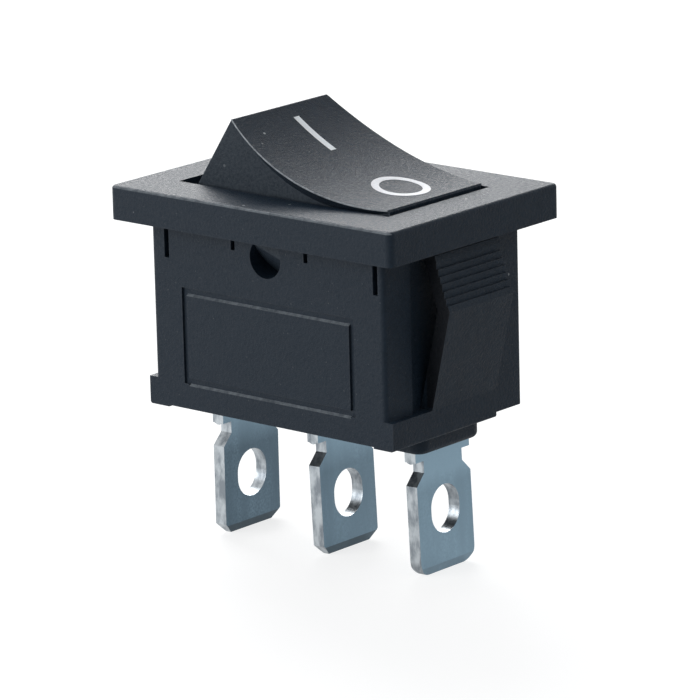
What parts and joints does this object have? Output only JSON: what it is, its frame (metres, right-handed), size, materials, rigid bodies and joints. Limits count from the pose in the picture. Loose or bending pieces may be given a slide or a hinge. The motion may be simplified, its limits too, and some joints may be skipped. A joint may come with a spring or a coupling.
{
  "type": "panel rocker switch",
  "caption": "Snap-in panel rocker switch with a rectangular bezel, sprung side wings, a dished rocker that tilts between on and off, and solder tabs below.",
  "frame": {"origin": "centre of the panel plane, on the underside of the bezel", "axes": "+Z out of the panel towards the user, +X along the bezel's long side towards the off end of the rocker, -Y towards the long face with the label frame"},
  "size_m": [0.0212, 0.015, 0.0256],
  "materials": {
    "housing_plastic": "fine matt grain, blue-black moulded plastic",
    "rocker_plastic": "fine matt grain, with white signs for on and off",
    "plunger_plastic": "smooth moulded plastic",
    "spring_steel": "drawn spring wire",
    "contact_strip": "stamped copper alloy strip",
    "contact_silver": "turned silver contact",
    "tab_metal": "bright plated stamping with sheared edges"
  },
  "bodies": {
    "base": {"housing": "housing_plastic", "tab_common": "tab_metal", "tab_off": "tab_metal", "tab_on": "tab_metal", "fixed_contact_pad_off": "contact_silver", "fixed_contact_pad_on": "contact_silver"},
    "rocker": {"rocker": "rocker_plastic", "plunger_spring": "spring_steel"},
    "plunger": {"plunger": "plunger_plastic"},
    "seesaw": {"moving_contact": "contact_strip", "moving_contact_pad_off": "contact_silver", "moving_contact_pad_on": "contact_silver"}
  },
  "joints": [
    {"name": "rocker_tilt", "type": "hinge", "parent": "base", "child": "rocker", "pos_m": [0, 0, -0.0012], "axis": [0, 1, 0], "range_deg": [-37, 0]},
    {"name": "contact_tilt", "type": "hinge", "parent": "base", "child": "seesaw", "pos_m": [0, 0, -0.00801], "axis": [0, 1, 0], "range_deg": [0, 18]},
    {"name": "plunger_slide", "type": "slide", "parent": "rocker", "child": "plunger", "axis": [0.3173, 0, 0.9483], "range_m": [0, 0.0005], "stiffness_N_per_m": 400, "springref_m": -0.002, "deforming": ["plunger_spring"]}
  ],
  "couplings": [
    {"joint": "contact_tilt", "follows": "rocker_tilt", "ratio": -0.48649}
  ]
}
